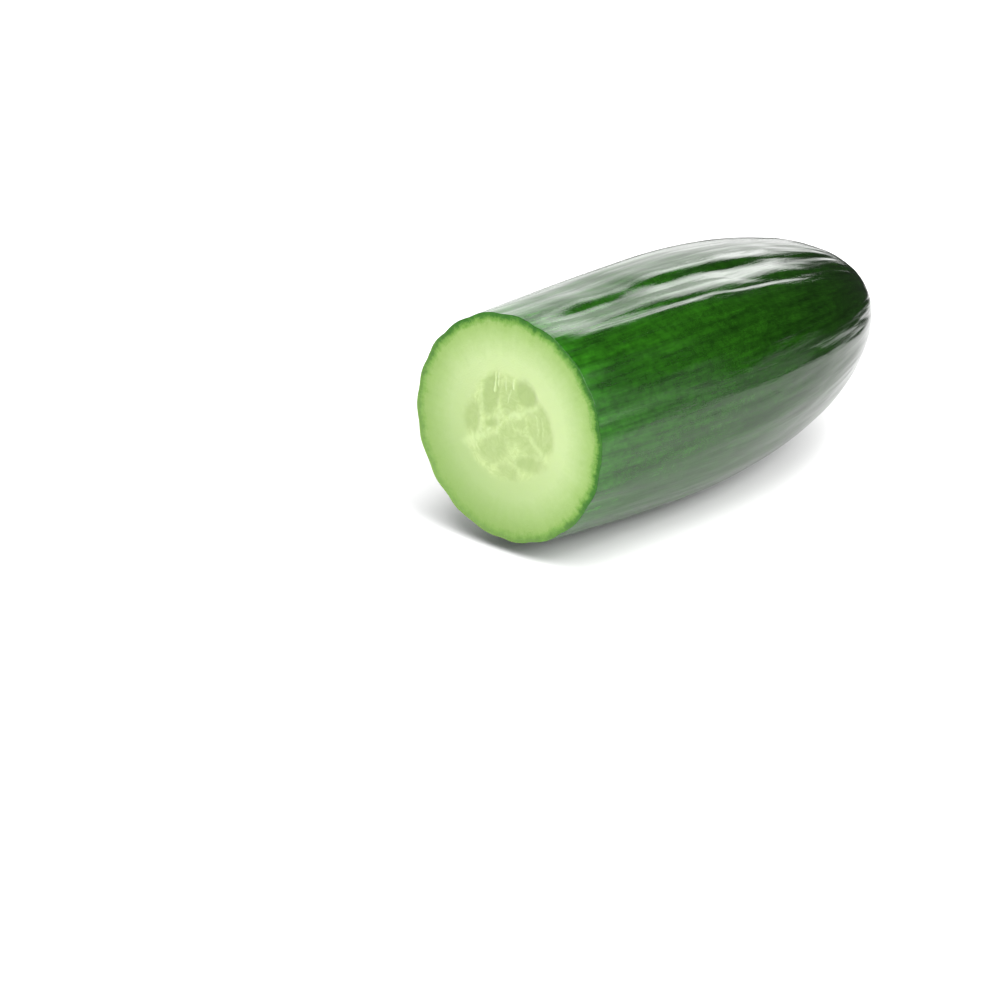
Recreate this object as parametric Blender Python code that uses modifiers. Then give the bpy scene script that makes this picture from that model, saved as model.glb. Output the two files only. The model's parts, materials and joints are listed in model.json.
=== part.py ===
"""Half of a greenhouse cucumber, cut across and lying on its side.

The fruit grew as one piece, so it is one closed solid: a turned body with shallow lengthwise ribs,
bent a little to one side, flat where the knife went through and domed at the blossom end.
Metres, +Z up. The cut face looks along -Y and the blossom end points along +Y. The origin is on the
surface that the cucumber lies on, under the middle of its bounding box.
"""

import math

import bpy
from mathutils import Matrix, Vector

# Driving dimensions. A share is a distance along the fruit: 0 at the cut face, 1 at the blossom end.
LENGTH = 0.112            # cut face to blossom end, square to the cut
CUT_RADIUS = 0.0230       # mean radius at the cut face
SWELL = 0.27              # growth of the radius over the length, before the dome closes it in
DOME_START = 0.24         # share of the length where the dome begins
DOME_EASE = 2.0           # how gently it begins
DOME_BLUNT = 1.67         # 2 is an egg's end, higher is blunter
LEAN = math.tan(math.radians(8.2))     # the fruit leaves the cut leaning to +X,
BEND = 0.085                           # and bends back by this share of its length
RISE = math.tan(math.radians(2.3))     # its rise from the square of the cut
SCAR_RADIUS = 0.0030      # round scar where the blossom was
SCAR_DEPTH = 0.0004       # how far the scar is sunk

# Ribs along the fruit.
RIB_COUNT = 18
RIB_HEIGHT = 0.00045      # crest to groove
RIB_CREST = 0.65          # under 1 makes broad crests and narrow grooves
RIB_TURN = math.radians(1.0)    # turns the ribs round the fruit, so that two of them carry it

# How the fruit lies.
CUT_TILT = math.radians(4.0)    # the cut face looks up a little, because the blossom end dips
BEDDED = 0.0002                 # how far the lowest ribs are flattened by the fruit's weight

# Mesh.
STEPS_PER_RIB = 6
RINGS = 30
MERGE = 0.00001

SKIN_COLOUR = (0.035, 0.115, 0.020, 1.0)
FLESH_COLOUR = (0.62, 0.80, 0.34, 1.0)


def body_radius(share):
    """Mean radius at a share of the length."""
    closing = max(0.0, (share - DOME_START) / (1 - DOME_START)) ** DOME_EASE
    return CUT_RADIUS * (1 + SWELL * share) * (1 - closing) ** (1 / DOME_BLUNT)


def scar_share():
    """The share of the length where the dome has closed in to the scar's radius."""
    low, high = DOME_START, 1.0
    for _ in range(40):
        middle = (low + high) / 2
        if body_radius(middle) > SCAR_RADIUS:
            low = middle
        else:
            high = middle
    return low


def turned_outline():
    """(radius, distance along the fruit) from the middle of the scar down to the middle of the cut."""
    edge = scar_share()
    sunk = edge * LENGTH - SCAR_DEPTH
    outline = [(0.0, sunk), (SCAR_RADIUS * 0.7, sunk)]
    for ring in range(RINGS, -1, -1):
        share = edge * math.sin(ring / RINGS * math.pi / 2)
        outline.append((body_radius(share), share * LENGTH))
    outline.append((0.0, 0.0))
    return outline


def rib_offset(angle, share):
    """How far the skin stands out of (or sinks under) the mean radius, by rib and groove."""
    uneven = 0.075 * (1 - math.sin(angle)) + 0.02 * math.sin(3 * angle + 2.1)
    strength = 0.85 + 0.15 * math.sin(3 * angle + 1.0)
    crest = (1 + math.cos(RIB_COUNT * (angle + uneven - RIB_TURN))) / 2
    fade = min(1.0, 4.0 * (1 - share))
    return RIB_HEIGHT * strength * fade * (crest ** RIB_CREST - 0.6)


def centre_line(share):
    """Sideways and upward offset of the fruit's centre from the square of the cut."""
    return LENGTH * (LEAN * share - BEND * share ** 2), LENGTH * RISE * share


def turn_profile():
    """The body without its ribs: the outline turned about Z by a Screw modifier."""
    points = [(radius, 0.0, along) for radius, along in turned_outline()]
    edges = [(i, i + 1) for i in range(len(points) - 1)]
    mesh = bpy.data.meshes.new("outline")
    mesh.from_pydata(points, edges, [])
    outline = bpy.data.objects.new("outline", mesh)
    bpy.context.scene.collection.objects.link(outline)
    screw = outline.modifiers.new("turn", "SCREW")
    screw.axis = "Z"
    screw.steps = screw.render_steps = RIB_COUNT * STEPS_PER_RIB
    screw.use_merge_vertices = True
    screw.merge_threshold = MERGE
    screw.use_smooth_shade = True
    view = bpy.context.evaluated_depsgraph_get()
    turned = bpy.data.meshes.new_from_object(outline.evaluated_get(view))
    bpy.data.objects.remove(outline)
    return turned


def grow(mesh):
    """Ribs the turned body and bends it. Its cut stays in the plane Z = 0, and -Y is its upper side."""
    for vertex in mesh.vertices:
        x, y, along = vertex.co
        radius = math.hypot(x, y)
        share = min(1.0, along / LENGTH)
        if radius > SCAR_RADIUS:
            stretch = 1 + rib_offset(math.atan2(y, x), share) / radius
            x, y = x * stretch, y * stretch
        sideways, upward = centre_line(share)
        vertex.co = (x + sideways, y - upward, along)


def lay_down(mesh):
    """Turns the fruit onto its side, sets it on the surface and centres it over the origin."""
    mesh.transform(Matrix.Rotation(-math.pi / 2 - CUT_TILT, 4, "X"))
    places = [vertex.co for vertex in mesh.vertices]
    low = Vector(min(place[axis] for place in places) for axis in range(3))
    high = Vector(max(place[axis] for place in places) for axis in range(3))
    middle = (low + high) / 2
    mesh.transform(Matrix.Translation((-middle.x, -middle.y, -low.z - BEDDED)))
    for vertex in mesh.vertices:
        vertex.co.z = max(vertex.co.z, 0.0)


def material(name, colour, roughness):
    made = bpy.data.materials.new(name)
    made.use_nodes = True
    shader = made.node_tree.nodes["Principled BSDF"]
    shader.inputs["Base Color"].default_value = colour
    shader.inputs["Roughness"].default_value = roughness
    shader.inputs["Metallic"].default_value = 0.0
    return made


def paint(mesh):
    """Skin all over, and flesh on the flat cut."""
    mesh.materials.append(material("cucumber skin", SKIN_COLOUR, 0.3))
    mesh.materials.append(material("cucumber flesh", FLESH_COLOUR, 0.4))
    cut_normal = Vector((0, -math.cos(CUT_TILT), math.sin(CUT_TILT)))
    for face in mesh.polygons:
        if face.normal.dot(cut_normal) > 0.999:
            face.material_index = 1
    mesh.set_sharp_from_angle(angle=math.radians(40))


def build():
    for thing in list(bpy.data.objects):
        bpy.data.objects.remove(thing, do_unlink=True)
    collection = bpy.data.collections.new("cucumber")
    bpy.context.scene.collection.children.link(collection)
    mesh = turn_profile()
    mesh.name = "cucumber_half"
    grow(mesh)
    lay_down(mesh)
    paint(mesh)
    collection.objects.link(bpy.data.objects.new("cucumber_half", mesh))


build()
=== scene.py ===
import json
import math

import bpy
import numpy as np
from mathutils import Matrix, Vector, noise


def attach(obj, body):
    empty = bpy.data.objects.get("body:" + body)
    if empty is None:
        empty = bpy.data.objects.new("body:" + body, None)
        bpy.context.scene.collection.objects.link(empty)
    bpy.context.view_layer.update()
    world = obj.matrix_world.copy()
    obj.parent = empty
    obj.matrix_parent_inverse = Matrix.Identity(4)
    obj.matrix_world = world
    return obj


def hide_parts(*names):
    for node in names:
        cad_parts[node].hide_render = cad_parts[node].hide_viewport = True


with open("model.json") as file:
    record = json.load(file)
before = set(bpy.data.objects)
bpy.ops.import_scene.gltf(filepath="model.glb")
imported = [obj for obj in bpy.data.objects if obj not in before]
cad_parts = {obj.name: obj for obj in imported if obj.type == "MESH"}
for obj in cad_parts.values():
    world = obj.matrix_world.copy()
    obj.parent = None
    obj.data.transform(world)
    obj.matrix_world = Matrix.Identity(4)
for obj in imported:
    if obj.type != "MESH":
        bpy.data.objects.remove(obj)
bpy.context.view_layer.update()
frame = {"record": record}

# ---- The fruit ---------------------------------------------------------------------------------
# Half of a greenhouse cucumber: one piece that grew, cut straight across by a knife and lying on its
# side. Its body is a slightly bent round bar with shallow ribs and finer furrows along it, and it
# closes in a blunt dome at the blossom end.

# The fruit's shape and patterns are worked out in millimetres. Its bumps, the light under its surface,
# the table, the lights and the camera are in metres. Angles go round the fruit with 0 at +X and -90
# degrees on top. A share is a distance along the fruit: 0 at the cut and 1 at the blossom end.
MM = 0.001
LENGTH = 112.0
CUT_RADIUS = 23.0
SWELL = 0.27                       # how much the body would widen if no dome closed it
DOME_START = 0.24                  # the share where it begins to close
DOME_EASE = 2.0                    # how gently it begins to close
DOME_BLUNT = 1.67                  # how blunt its end is
LEAN = math.tan(math.radians(8.2))
BEND = 0.085
RISE = math.tan(math.radians(2.3))
RIB_COUNT = 18
RIB_HEIGHT = 0.32
RIB_CREST = 0.65                   # below 1, the ribs are broad and the valleys between them narrow
RIB_TURN = math.radians(1.0)
RIB_GATHER = math.radians(20)      # the ribs gather towards one side of the blossom end,
GATHER_SIDE = math.radians(-17)    # the side at this angle
GRAIN_RADIUS = 24.0                # the skin's patterns are laid on a cylinder of this radius
SCAR_RADIUS = 3.0
SCAR_DEPTH = 0.4
EDGE_ROUND = 0.05                  # the knife leaves the skin's edge crisp, but not perfectly sharp
EDGE_MIDDLE = 0.29                 # how far in the round edge's middle lies, as a share of its radius

cut_mount = frame["record"]["mounts"][0]
CUT_CENTRE = Vector(cut_mount["pos_m"])
ALONG = -Vector(cut_mount["axis"])
SIDEWAYS = Vector((1.0, 0.0, 0.0))
UPWARD = SIDEWAYS.cross(ALONG)


def body_radius(share):
    """The mean radius of the body."""
    closing = np.clip((share - DOME_START) / (1 - DOME_START), 0, 1) ** DOME_EASE
    return CUT_RADIUS * (1 + SWELL * share) * (1 - closing) ** (1 / DOME_BLUNT)


def noise_at(x, y, z):
    """Smooth noise from -1 to 1 at each of the points."""
    spots = np.stack(np.broadcast_arrays(x, y, z), -1).reshape(-1, 3)
    values = np.array([noise.noise(spot) for spot in spots])
    return values.reshape(np.broadcast(x, y, z).shape)


def gathered(angle, share):
    """The angle at the cut of the rib that passes this place."""
    return angle + RIB_GATHER * share * np.sin(angle - GATHER_SIDE)


def rib_relief(angle, share):
    """Millimetres that the ribs stand out of the mean radius."""
    angle = gathered(angle, share)
    uneven = 0.075 * (1 - np.sin(angle)) + 0.02 * np.sin(3 * angle + 2.1)
    strength = 0.85 + 0.15 * np.sin(3 * angle + 1.0)
    crest = (1 + np.cos(RIB_COUNT * (angle + uneven - RIB_TURN))) / 2
    fade = np.minimum(1.0, 4.0 * (1 - share)) * (0.35 + 0.65 * np.exp(-share / 0.12))
    return RIB_HEIGHT * strength * fade * (crest ** RIB_CREST - 0.6)


# Furrows that cross the ribs at a slant. Each is given by degrees up from +X and share where it starts,
# the same where it ends, half width, depth, and how many times wider its lower side is.
FURROWS = (
    (63.5, 0.00, 58.5, 0.42, 1.9, 0.25, 0.25),
    (60.5, 0.31, 50.0, 0.72, 1.9, 0.23, 0.25),
    (55, 0.46, 49, 0.68, 0.5, 0.06, 1.0),
    (77, 0.00, 74, 0.29, 1.9, 0.82, 2.2),
    (77, 0.18, 69, 0.58, 1.9, 0.95, 2.2),
    (71, 0.40, 62, 0.82, 1.8, 0.45, 2.0),
    (86, 0.12, 84, 0.29, 1.4, 0.32, 1.8),
    (85, 0.30, 83, 0.50, 1.5, 0.16, 2.0),
    (82, 0.46, 80, 0.61, 1.4, 0.15, 2.0),
    (80, 0.60, 77, 0.76, 1.4, 0.20, 2.0),
    (98, 0.10, 95, 0.28, 2.0, 0.36, 2.0),
    (101, 0.40, 96, 0.75, 2.0, 0.30, 2.0),
    (39, 0.05, 34, 0.72, 1.3, 0.12, 1.5),
    (48, 0.18, 43, 0.56, 1.1, 0.08, 1.5),
    (25, 0.10, 25, 0.62, 1.3, 0.08, 1.5),
    (16, 0.30, 11, 0.80, 1.2, 0.07, 1.0),
    (6, 0.14, 1, 0.80, 1.6, 0.17, 0.65),
    (-20, 0.04, -12, 0.62, 1.4, 0.12, 1.5),
    (-34, 0.10, -25, 0.72, 1.4, 0.12, 1.5),
    (-52, 0.02, -44, 0.50, 1.6, 0.14, 1.5),
    (118, 0.05, 122, 0.60, 1.8, 0.20, 1.5),
    (141, 0.20, 137, 0.80, 1.6, 0.18, 1.5),
    (163, 0.00, 168, 0.45, 1.8, 0.20, 1.5),
    (186, 0.30, 181, 0.85, 1.6, 0.16, 1.5),
)


def smooth_step(value, low, high):
    """0 up to low, 1 from high on, and an S-shaped rise between."""
    t = np.clip((value - low) / (high - low), 0, 1)
    return t * t * (3 - 2 * t)


def furrow_relief(angle, share):
    """Millimetres of uneven growth: soft swellings, wrinkles, and furrows along the fruit."""
    sunk = np.zeros_like(angle)
    for start_degrees, start, end_degrees, end, half_width, deep, lower in FURROWS:
        run = (share - start) / (end - start)
        wander = 1.6 * noise.noise((9 * share, start_degrees, 0))
        middle = -math.radians(start_degrees + (end_degrees - start_degrees) * run + wander)
        gap = body_radius(share) * ((angle - middle + math.pi) % (2 * math.pi) - math.pi)
        fading = min(0.14, 0.42 * (end - start))
        ends = smooth_step(share - start, 0, fading) * smooth_step(end - share, 0, fading)
        reach = np.where(gap < 0, half_width, lower * half_width)
        sunk = sunk + deep * ends * np.exp(-(gap / reach) ** 2)
    angle = gathered(angle, share)
    x, y, z = GRAIN_RADIUS * np.cos(angle), GRAIN_RADIUS * np.sin(angle), LENGTH * share
    # Each layer's height comes first, and its noise is divided by how wide and how long its bumps are.
    swellings = 0.12 * noise_at(x / 15, y / 15, z / 26)
    furrows = 0.20 * np.abs(noise_at(x / 5.5, y / 5.5, z / 34 + 40)) ** 0.75
    wrinkled = 0.035 + 0.045 * smooth_step(share, 0.35, 0.75)
    wrinkles = wrinkled * noise_at(x / 1.5, y / 1.5, z / 9 + 80)
    fade = np.minimum(1.0, 5.0 * (1 - share))
    return (swellings + furrows + wrinkles - sunk) * fade


def centre_line(share):
    """How far sideways and upward the body's middle is."""
    return LENGTH * (LEAN * share - BEND * share ** 2), LENGTH * RISE * share


ANGLES = 336                       # points in a ring,
CROWDING = 0.4                     # which crowd together round the angle of the finest furrows
FINE_SIDE = math.radians(-62)
SKIN_STEP = 0.66                   # distance between the skin's rings

angle = np.arange(ANGLES) * 2 * math.pi / ANGLES
angle = angle - CROWDING * np.sin(angle - FINE_SIDE)

# Rings at even steps over the skin, from the cut's edge to the scar's.
fine_share = np.linspace(0, 1, 4001)
fine_radius = body_radius(fine_share)
edge_share = fine_share[np.nonzero(fine_radius > SCAR_RADIUS)[0][-1]]
steps = np.hypot(np.diff(fine_radius), LENGTH * np.diff(fine_share))
travel = np.concatenate([[0], np.cumsum(steps)])
edge_travel = np.interp(edge_share, fine_share, travel)
ring_travel = np.linspace(2 * EDGE_ROUND, edge_travel, int(edge_travel / SKIN_STEP))
ring_travel = np.append(EDGE_ROUND, ring_travel)
skin_share = np.interp(ring_travel, travel, fine_share)

rows = []                          # each ring as (sideways, upward, along)
rows_grain = []                    # where it lies on the patterns' cylinder
rows_cut = []                      # where it lies on the cut, and how far inside the skin


def add_row(radius, along, share, inside=0.0):
    """One ring of points: its radius, distance from the cut, share, and distance in from the skin."""
    side, up = centre_line(share)
    across = radius * np.cos(angle) + side
    upright = -radius * np.sin(angle) + up
    flat = np.ones(ANGLES)
    rows.append(np.stack([across, upright, along * flat], -1))
    far = np.interp(share, fine_share, travel)
    rows_grain.append(
        np.stack([GRAIN_RADIUS * np.cos(angle), GRAIN_RADIUS * np.sin(angle), far * flat], -1)
    )
    rows_cut.append(np.stack([across, upright, inside * flat], -1))


# The cut's rings are close together in the seed core and at the rim, where there is most to see.
rim_radius = body_radius(0.0) + rib_relief(angle, 0.0) + furrow_relief(angle, 0.0)
flat_radius = rim_radius - EDGE_ROUND
core_rings = np.linspace(0.4, 11.4, 43)
flesh_rings = np.linspace(12.0, 19.6, 13)
rim_rings = np.linspace(20.0, 22.8, 11)
cut_reach = np.concatenate([core_rings, flesh_rings, rim_rings]) / CUT_RADIUS
cut_reach = np.append(cut_reach, [0.998, 1.0])
for reach in cut_reach:
    add_row(flat_radius * reach, 0.0, 0.0, flat_radius * (1 - reach))
add_row(rim_radius - EDGE_MIDDLE * EDGE_ROUND, EDGE_MIDDLE * EDGE_ROUND, 0.0)
for share in skin_share:
    relief = rib_relief(angle, share) + furrow_relief(angle, share)
    add_row(body_radius(share) + relief, LENGTH * share, share)
skin_end = len(rows)

# The scar dips inside its edge and rises again to a low button in the middle. Each ring is given by
# its share of the scar's radius and how low it lies, against the lowest.
SCAR_DIPS = ((0.93, 0.22), (0.85, 0.38), (0.7, 0.42), (0.5, 0.34), (0.3, 0.18), (0.12, 0.10))
LOWEST_DIP = 0.42
scar_along = rows[-1][:, 2].mean()
for inward, dip in SCAR_DIPS:
    add_row(SCAR_RADIUS * inward, scar_along - SCAR_DEPTH * dip / LOWEST_DIP, edge_share)

places = np.concatenate(rows)
grain = np.concatenate(rows_grain)
cut_place = np.concatenate(rows_cut)

# ---- The cut face ------------------------------------------------------------------------------
# Wet flesh that the knife went through: firm pale green flesh under the skin, and in the middle the
# seed core, where gel cells with unripe seeds lie between paler membranes. A cell is given by its
# middle, half width, half length, lean to the left of upright in degrees, and how dark it is.

CELLS = (
    (-9.0, 0.2, 2.1, 3.4, -4, 0.62),
    (-4.7, 5.9, 2.2, 4.8, -16, 0.68),
    (0.1, 6.5, 2.5, 3.6, 0, 0.50),
    (4.0, 7.9, 2.4, 3.3, 38, 0.78),
    (7.8, 1.9, 3.1, 5.0, 20, 0.50),
    (2.8, 1.7, 1.0, 2.2, -75, 0.50),
    (-4.3, 0.1, 1.1, 2.1, -68, 0.66),
    (0.2, -1.6, 2.2, 2.7, 20, 0.45),
    (4.4, -2.2, 1.7, 4.2, 58, 0.45),
    (-3.4, -5.1, 2.7, 4.0, -58, 0.52),
    (5.4, -5.9, 1.5, 4.1, -82, 0.66),
    (0.4, -8.8, 1.7, 2.8, 80, 0.50),
)

# Membranes and fibres, and one painted glint, as (start x, start y, end x, end y, half width, strength).
MEMBRANES_AND_GLINT = (
    (0.8, 2.4, 6.6, 6.0, 0.60, 0.42),
    (0.7, 3.0, 2.6, 3.5, 0.55, 0.7),
    (-6.9, 6.5, -6.4, -2.2, 0.45, 0.25),
    (0.6, -3.2, 3.2, -8.0, 0.55, 0.22),
    (5.6, -0.6, 9.8, -4.2, 0.60, 0.25),
    (-6.0, -2.8, -10.4, -5.2, 0.80, 0.45),
    (-2.2, 3.6, -2.6, -1.4, 0.40, 0.3),
    (-3.6, 7.0, -3.4, 10.6, 0.18, 0.9),
    (-2.8, 8.2, -2.6, 10.8, 0.15, 0.8),
    (-1.0, 7.6, -0.9, 10.4, 0.16, 0.5),
    (0.9, 8.6, 1.1, 10.4, 0.20, 0.9),
    (-0.2, 5.2, 0.1, 8.0, 0.14, 0.4),
    (7.6, 0.6, 6.7, 4.4, 0.16, 0.35),
    (8.8, 0.8, 8.1, 4.2, 0.14, 0.3),
    # Not a membrane: a painted glint, a pale spot standing in for the highlight on a small wet drop.
    (-4.9, -1.5, -4.4, -1.3, 0.30, 0.6),
)


def cut_pattern(x, y):
    """How much each point is gel cell, pale membrane and core, from 0 to 1; one pale spot is a painted
    glint.
    """
    shifted_x = x + 0.45 * noise_at(x / 2.2, y / 2.2, 3.0) + 0.15 * noise_at(x / 0.7, y / 0.7, 5.0)
    shifted_y = y + 0.45 * noise_at(x / 2.2, y / 2.2, 9.0) + 0.15 * noise_at(x / 0.7, y / 0.7, 7.0)
    cell = np.zeros_like(x)
    for middle_x, middle_y, half_width, half_length, lean, dark in CELLS:
        turn = math.radians(lean)
        across = (shifted_x - middle_x) * math.cos(turn) + (shifted_y - middle_y) * math.sin(turn)
        upright = (shifted_y - middle_y) * math.cos(turn) - (shifted_x - middle_x) * math.sin(turn)
        inside = (abs(across / half_width) ** 2.3 + abs(upright / half_length) ** 2.3) ** (1 / 2.3)
        cell = np.maximum(cell, dark * smooth_step((1 - inside) * half_width, -0.55, 0.75))
    pale = np.zeros_like(x)
    for x0, y0, x1, y1, half_width, strength in MEMBRANES_AND_GLINT:
        run = (shifted_x - x0) * (x1 - x0) + (shifted_y - y0) * (y1 - y0)
        run = np.clip(run / ((x1 - x0) ** 2 + (y1 - y0) ** 2), 0, 1)
        gap = np.hypot(shifted_x - x0 - run * (x1 - x0), shifted_y - y0 - run * (y1 - y0))
        pale = np.maximum(pale, strength * np.exp(-(gap / half_width) ** 2))
    around = np.arctan2(shifted_y, shifted_x)
    core_radius = 10.9 + 0.5 * np.cos(3 * around + 0.5)
    core = smooth_step(core_radius - np.hypot(shifted_x, shifted_y), -0.8, 1.2)
    return cell, pale, core


cut_end = len(cut_reach) * ANGLES
cell, pale, core = np.zeros((3, len(places)))
cell[:cut_end], pale[:cut_end], core[:cut_end] = cut_pattern(places[:cut_end, 0], places[:cut_end, 1])
cell *= 1 - pale
x, y = places[:cut_end, 0], places[:cut_end, 1]

# The knife's face isn't quite flat: the soft cells sink a little and the tough membranes stand out.
CELL_SINK = 0.16
MEMBRANE_STAND = 0.05
KNIFE_ROUGHNESS = 0.035
inner = smooth_step(cut_place[:cut_end, 2], 0.2, 1.5)
places[:cut_end, 2] += inner * (
    CELL_SINK * cell[:cut_end] - MEMBRANE_STAND * pale[:cut_end]
    + KNIFE_ROUGHNESS * noise_at(x / 1.1, y / 1.1, 1.0)
)

# The mesh: rings joined by four-sided faces, closed by a fan at the cut's middle and at the scar's.
centre_cut = len(places)
centre_scar = centre_cut + 1
places = np.vstack([places, [[0, 0, places[:ANGLES, 2].mean()]], [rows[-1].mean(0)]])
grain = np.vstack([grain, grain[:1], grain[-1:]])
cut_place = np.vstack([cut_place, [[0, 0, CUT_RADIUS]], [[0, 0, 0]]])
cell = np.append(cell, [cell[:ANGLES].mean(), 0])
pale = np.append(pale, [pale[:ANGLES].mean(), 0])
core = np.append(core, [1, 0])

world = (
    np.array(CUT_CENTRE)
    + MM * (places[:, :1] * np.array(SIDEWAYS) + places[:, 1:2] * np.array(UPWARD))
    + MM * places[:, 2:] * np.array(ALONG)
)
FLOOR_GAP = 0.00002                # the lowest ribs are pressed flat, this many metres above the table
world[:, 2] = np.maximum(world[:, 2], FLOOR_GAP)

near = np.arange(ANGLES)
following = (near + 1) % ANGLES
faces = []
surface = []
SKIN, FLESH, SCAR = 0, 1, 2
for ring in range(len(rows) - 1):
    low, high = ring * ANGLES, (ring + 1) * ANGLES
    faces += np.stack([low + near, low + following, high + following, high + near], -1).tolist()
    kind = FLESH if ring < len(cut_reach) - 1 else SKIN if ring < skin_end - 1 else SCAR
    surface += [kind] * ANGLES
last = (len(rows) - 1) * ANGLES
faces += np.stack([following, near, centre_cut + 0 * near], -1).tolist()
faces += np.stack([last + near, last + following, centre_scar + 0 * near], -1).tolist()
surface += [FLESH] * ANGLES + [SCAR] * ANGLES

mesh = bpy.data.meshes.new("cucumber")
mesh.from_pydata(world.tolist(), [], faces)
mesh.polygons.foreach_set("material_index", surface)
mesh.shade_smooth()
for name, values in (("grain", grain), ("cut_place", cut_place)):
    mesh.attributes.new(name, "FLOAT_VECTOR", "POINT").data.foreach_set("vector", values.ravel())
for name, values in (("cell", cell), ("pale", pale), ("core", core)):
    mesh.attributes.new(name, "FLOAT", "POINT").data.foreach_set("value", values)
cucumber = bpy.data.objects.new("cucumber", mesh)
bpy.context.scene.collection.objects.link(cucumber)


def linear(colour):
    """The linear colour of an sRGB hex value such as "#2a5c1f"."""
    parts = [int(colour[i:i + 2], 16) / 255 for i in (1, 3, 5)]
    return [p / 12.92 if p <= 0.04045 else ((p + 0.055) / 1.055) ** 2.4 for p in parts] + [1.0]


def add(owner, kind, sockets=None, stops=None, **settings):
    """Adds a node. A socket takes a number, a colour, or another node's output, which is linked."""
    tree = owner.node_tree
    made = tree.nodes.new("ShaderNode" + kind)
    for name, value in settings.items():
        setattr(made, name, value)
    for name, value in (sockets or {}).items():
        if isinstance(value, bpy.types.NodeSocket):
            tree.links.new(value, made.inputs[name])
        else:
            made.inputs[name].default_value = linear(value) if isinstance(value, str) else value
    for index, (position, colour) in enumerate(stops or []):
        elements = made.color_ramp.elements
        element = elements[index] if index < 2 else elements.new(position)
        element.position = position
        element.color = linear(colour)
    return made


def new_material(name):
    made = bpy.data.materials.new(name)
    made.use_nodes = True
    made.node_tree.nodes.clear()
    return made


# Cucumber skin: a thin waxy cuticle over dark green tissue. To the eye it is glossy and deep green,
# lighter near the cut and nearly black at the blossom end, with fine streaks and soft mottling. The
# lightness near the cut is painted light: a glow as if light shone out through the cut edge.
skin = new_material("waxy cucumber skin")
on_skin = add(skin, "Attribute", attribute_name="grain").outputs["Vector"]
lengthwise = add(skin, "VectorMath", {0: on_skin, 1: (1, 1, 0.1)}, operation="MULTIPLY").outputs[0]
streaks = add(skin, "TexNoise", {"Vector": lengthwise, "Scale": 0.7, "Detail": 5.0, "Roughness": 0.6})
mottle = add(skin, "TexNoise", {"Vector": on_skin, "Scale": 0.55, "Detail": 4.0, "Roughness": 0.65})
deep = add(skin, "ValToRGB", {"Fac": streaks.outputs["Fac"]},
           stops=((0.32, "#154306"), (0.68, "#296910")))
patchy = add(skin, "ValToRGB", {"Fac": mottle.outputs["Fac"]},
             stops=((0.36, "#cad1be"), (0.64, "#ffffff")))
tinted = add(skin, "Mix", {"Factor": 1.0, 6: deep.outputs[0], 7: patchy.outputs[0]},
             data_type="RGBA", blend_type="MULTIPLY")
wrinkle = add(skin, "TexNoise", {"Vector": lengthwise, "Scale": 1.3, "Detail": 4.0, "Roughness": 0.6})
pores = add(skin, "TexNoise", {"Vector": on_skin, "Scale": 3.2, "Detail": 2.0, "Roughness": 0.5})
wrinkled = add(skin, "Bump", {"Height": wrinkle.outputs["Fac"], "Distance": 0.00005})
rough = add(skin, "Bump", {"Height": pores.outputs["Fac"], "Distance": 0.000012,
                           "Normal": wrinkled.outputs[0]})
far = add(skin, "SeparateXYZ", {0: on_skin}).outputs["Z"]
length_part = add(skin, "MapRange", {"Value": far, "From Min": 0.0, "From Max": 125.0})
# Painted light: the first few millimetres from the cut are lighter, a painted glow of light through the
# cut edge. Beyond that the skin only darkens towards the blossom end.
cut_glow_and_end_darkening = add(skin, "ValToRGB", {"Fac": length_part.outputs[0]},
             stops=((0.0, "#ffffff"), (1.0, "#665a64"), (0.07, "#d4d4c6"), (0.3, "#bab6ae"),
                    (0.5, "#9c9298"), (0.7, "#80727c")))
lengthwise_toned = add(skin, "Mix", {"Factor": 1.0, 6: tinted.outputs[2], 7: cut_glow_and_end_darkening.outputs[0]},
           data_type="RGBA", blend_type="MULTIPLY")
skin_shader = add(skin, "BsdfPrincipled", {
    "Base Color": lengthwise_toned.outputs[2], "Roughness": 0.17, "IOR": 1.45, "Normal": rough.outputs[0],
})
add(skin, "OutputMaterial", {"Surface": skin_shader.outputs[0]})

# Cut flesh: wet and translucent. To the eye it goes from the skin's dark green line through a green
# layer with a ragged edge to pale flesh, brightest round the seed core, which is cloudy and duller.
flesh = new_material("wet cut flesh")
on_cut = add(flesh, "Attribute", attribute_name="cut_place").outputs["Vector"]
cell_part = add(flesh, "Attribute", attribute_name="cell").outputs["Fac"]
pale_part = add(flesh, "Attribute", attribute_name="pale").outputs["Fac"]
core_part = add(flesh, "Attribute", attribute_name="core").outputs["Fac"]
depth = add(flesh, "SeparateXYZ", {0: on_cut}).outputs["Z"]
ragged = add(flesh, "TexNoise", {"Vector": on_cut, "Scale": 0.7, "Detail": 5.0, "Roughness": 0.7})
around = add(flesh, "VectorMath", {0: on_cut, 1: (1, 1, 0)}, operation="MULTIPLY").outputs[0]
around = add(flesh, "VectorMath", {0: around}, operation="NORMALIZE").outputs[0]
outward = add(flesh, "VectorMath", {0: around, 1: (CUT_RADIUS, CUT_RADIUS, 0)},
              operation="MULTIPLY").outputs[0]
inward = add(flesh, "VectorMath", {0: on_cut, 1: (0, 0, 0.22)}, operation="MULTIPLY").outputs[0]
spoke_place = add(flesh, "VectorMath", {0: outward, 1: inward}, operation="ADD").outputs[0]
spokes = add(flesh, "TexNoise", {"Vector": spoke_place, "Scale": 0.62, "Detail": 5.0, "Roughness": 0.75})
uneven_depth = add(flesh, "Math", {0: ragged.outputs["Fac"], 1: 2.2, 2: depth}, operation="MULTIPLY_ADD")
uneven_depth = add(flesh, "Math", {0: spokes.outputs["Fac"], 1: 2.2, 2: uneven_depth.outputs[0]},
                   operation="MULTIPLY_ADD")
layers = add(flesh, "MapRange", {"Value": uneven_depth.outputs[0], "From Min": 2.2, "From Max": 14.2})
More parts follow.
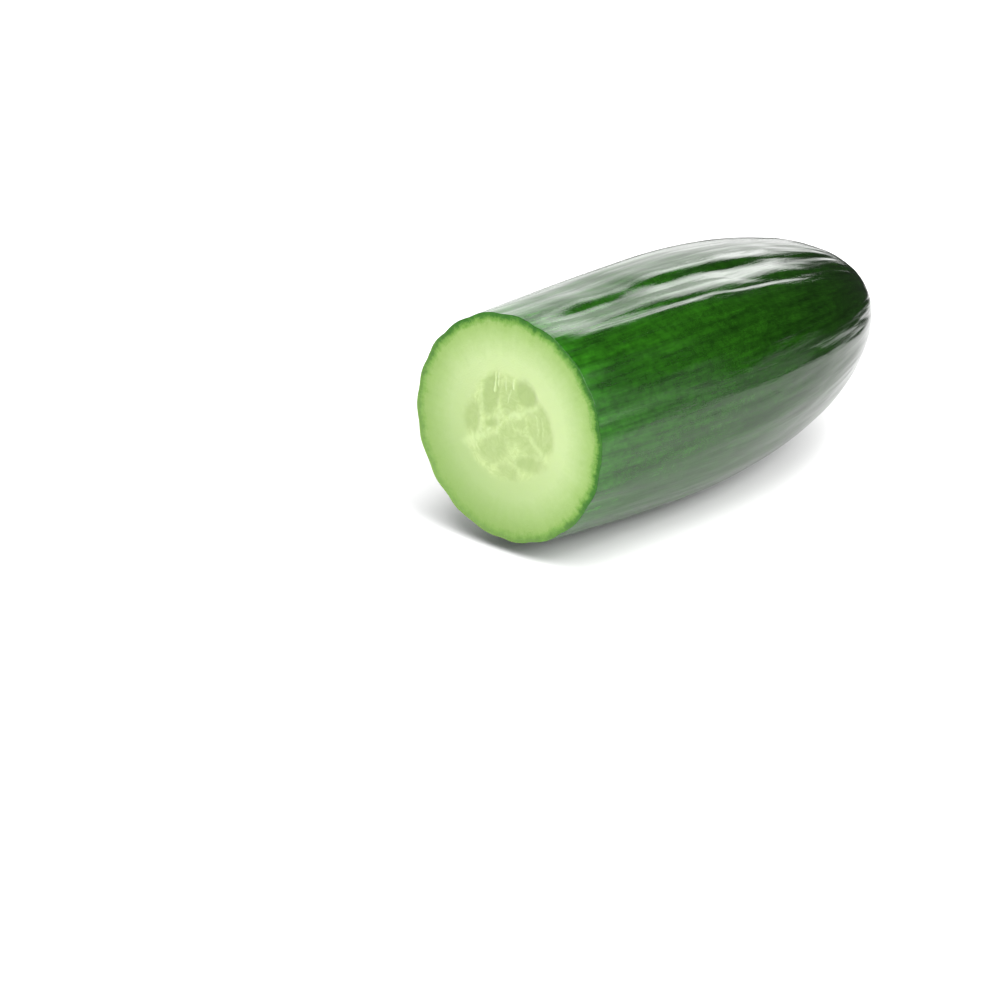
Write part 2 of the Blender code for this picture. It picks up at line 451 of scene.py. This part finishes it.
bands = add(flesh, "ValToRGB", {"Fac": layers.outputs[0]}, stops=(
    (0.0, "#296806"), (1.0, "#cde1a2"), (0.05, "#3a7b0e"), (0.11, "#78a943"), (0.19, "#9fc16b"),
    (0.42, "#b5d187"), (0.72, "#cae0a0"),
))
# Painted shade: the lower left of the cut face is mixed towards a darker green, as if shaded there.
lower_left = add(flesh, "VectorMath", {0: on_cut, 1: (-0.6, -0.8, 0)}, operation="DOT_PRODUCT")
shaded = add(flesh, "MapRange", {"Value": lower_left.outputs["Value"], "From Min": -6.0, "From Max": 22.0,
                                 "To Max": 0.7})
with_painted_shade = add(flesh, "Mix", {"Factor": shaded.outputs[0], 6: bands.outputs[0], 7: linear("#8db05a")},
              data_type="RGBA")
clouds = add(flesh, "TexNoise", {"Vector": on_cut, "Scale": 0.42, "Detail": 5.0, "Roughness": 0.6,
                                 "Distortion": 1.6})
gel = add(flesh, "ValToRGB", {"Fac": clouds.outputs["Fac"]}, stops=((0.35, "#b9d08a"), (0.65, "#cfe2a0")))
in_core = add(flesh, "Mix", {"Factor": core_part, 6: with_painted_shade.outputs[2], 7: gel.outputs[0]},
              data_type="RGBA")
in_cell = add(flesh, "Mix", {"Factor": cell_part, 6: in_core.outputs[2], 7: linear("#a5bd76")},
              data_type="RGBA")
# The pale colour marks the membranes, and also the painted glint on a drop in the seed core.
in_pale = add(flesh, "Mix", {"Factor": pale_part, 6: in_cell.outputs[2], 7: linear("#d3e7aa")},
              data_type="RGBA")
grit = add(flesh, "TexNoise", {"Vector": on_cut, "Scale": 2.4, "Detail": 3.0})
wet = add(flesh, "Bump", {"Height": grit.outputs["Fac"], "Distance": 0.00006})
flesh_shader = add(flesh, "BsdfPrincipled", {
    "Base Color": in_pale.outputs[2], "Roughness": 0.35, "IOR": 1.36, "Normal": wet.outputs[0],
    "Subsurface Weight": 0.35, "Subsurface Radius": (0.0022, 0.0026, 0.0012),
    "Subsurface Scale": 1.0,
})
add(flesh, "OutputMaterial", {"Surface": flesh_shader.outputs[0]})

# Blossom scar: where the flower dried and fell off. To the eye it is corky, dull and light brown, with
# fine cracks.
scar = new_material("dry corky scar")
on_scar = add(scar, "Attribute", attribute_name="grain").outputs["Vector"]
cracks = add(scar, "TexNoise", {"Vector": on_scar, "Scale": 0.9, "Detail": 5.0, "Roughness": 0.7})
cork = add(scar, "ValToRGB", {"Fac": cracks.outputs["Fac"]}, stops=((0.3, "#4a3f22"), (0.7, "#9c8b58")))
dry = add(scar, "Bump", {"Height": cracks.outputs["Fac"], "Distance": 0.0002})
scar_shader = add(scar, "BsdfPrincipled", {
    "Base Color": cork.outputs[0], "Roughness": 0.8, "Normal": dry.outputs[0],
})
add(scar, "OutputMaterial", {"Surface": scar_shader.outputs[0]})

for finish in (skin, flesh, scar):
    mesh.materials.append(finish)

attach(cucumber, "root")
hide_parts("cucumber_half")

# ---- The table ---------------------------------------------------------------------------------
# A plain white table top, smooth and matt. It is wide enough for the fruit's shadow, and beyond it the
# white walls fill the view.
TABLE_WIDTH = 1.2
TABLE_BEHIND = 0.14                # it ends this far behind the fruit's middle
bpy.ops.mesh.primitive_plane_add(size=TABLE_WIDTH, location=(0, TABLE_BEHIND - TABLE_WIDTH / 2, 0))
table = bpy.context.object
table.name = "table"
white = new_material("matt white table")
cover = add(white, "BsdfPrincipled", {"Base Color": (0.88, 0.88, 0.88, 1), "Roughness": 0.7})
add(white, "OutputMaterial", {"Surface": cover.outputs[0]})
table.data.materials.append(white)

# ---- Light and camera --------------------------------------------------------------------------
# A tall softbox behind the fruit puts the highlights on its upper ribs, and a wide dim one beside it on
# the left veils the top. One overhead and one at the right light the table and the cut face, and two low
# cards give the lower flank its grey sheen.


def softbox(name, centre, width, height, radiance, target=(0.0, 0.0, 0.02)):
    """A flat white light that faces the target. Its radiance is against 1 for a white wall."""
    lamp = bpy.data.lights.new(name, "AREA")
    lamp.shape = "RECTANGLE"
    lamp.size = width
    lamp.size_y = height
    lamp.energy = radiance * math.pi * width * height
    made = bpy.data.objects.new(name, lamp)
    made.location = centre
    made.rotation_euler = (Vector(target) - Vector(centre)).to_track_quat("-Z", "Y").to_euler()
    made.visible_camera = False
    bpy.context.scene.collection.objects.link(made)


softbox("softbox behind", (-0.262, 1.019, 0.764), 0.42, 0.745, 5.0)
softbox("softbox behind left", (-0.740, 0.870, 0.410), 0.95, 1.12, 2.1)
softbox("softbox overhead", (0.28, -0.20, 1.3), 1.3, 1.1, 5.35)
softbox("softbox at the right", (0.92, 0.0, 0.70), 0.9, 0.7, 7.3)
softbox("grey card", (1.08, 0.36, 0.22), 0.78, 0.44, 0.55)
softbox("low white card", (0.37, 0.29, 0.024), 0.36, 0.045, 1.0)

# The walls are white for the camera, dim for what they light, and nearly dark for what the skin mirrors.
surroundings = bpy.data.worlds.new("studio")
surroundings.use_nodes = True
bpy.context.scene.world = surroundings
IN_VIEW = (1.2, 1.2, 1.2, 1)       # a little over white, so that they stay clean
AS_LIGHT = (0.18, 0.18, 0.18, 1)
MIRRORED = (0.04, 0.04, 0.04, 1)
ray = add(surroundings, "LightPath").outputs
tone = add(surroundings, "Mix", {"Factor": ray["Is Glossy Ray"], 6: AS_LIGHT, 7: MIRRORED},
           data_type="RGBA")
seen = add(surroundings, "Mix", {"Factor": ray["Is Camera Ray"], 6: tone.outputs[2], 7: IN_VIEW},
           data_type="RGBA")
background = surroundings.node_tree.nodes["Background"]
surroundings.node_tree.links.new(seen.outputs[2], background.inputs["Color"])

AZIMUTH = math.radians(39.2)
ELEVATION = math.radians(24.6)
DISTANCE = 0.5925
LENS = 103.9
toward_camera = Vector((
    math.sin(AZIMUTH) * math.cos(ELEVATION), -math.cos(AZIMUTH) * math.cos(ELEVATION), math.sin(ELEVATION)
))
AIM_LEFT = 0.01576                 # the camera aims at the table, this far to the left of the cut's middle
AIM_BEHIND = 0.01702               # and this far behind it
look_at = Vector((CUT_CENTRE.x - AIM_LEFT, CUT_CENTRE.y + AIM_BEHIND, 0.0))
camera_data = bpy.data.cameras.new("camera")
camera_data.lens = LENS
camera_data.clip_start = 0.01
camera = bpy.data.objects.new("camera", camera_data)
camera.location = look_at + toward_camera * DISTANCE
camera.rotation_euler = (-toward_camera).to_track_quat("-Z", "Y").to_euler()
bpy.context.scene.collection.objects.link(camera)
bpy.context.scene.camera = camera
bpy.context.scene.view_settings.view_transform = "Standard"

bpy.context.view_layer.update()
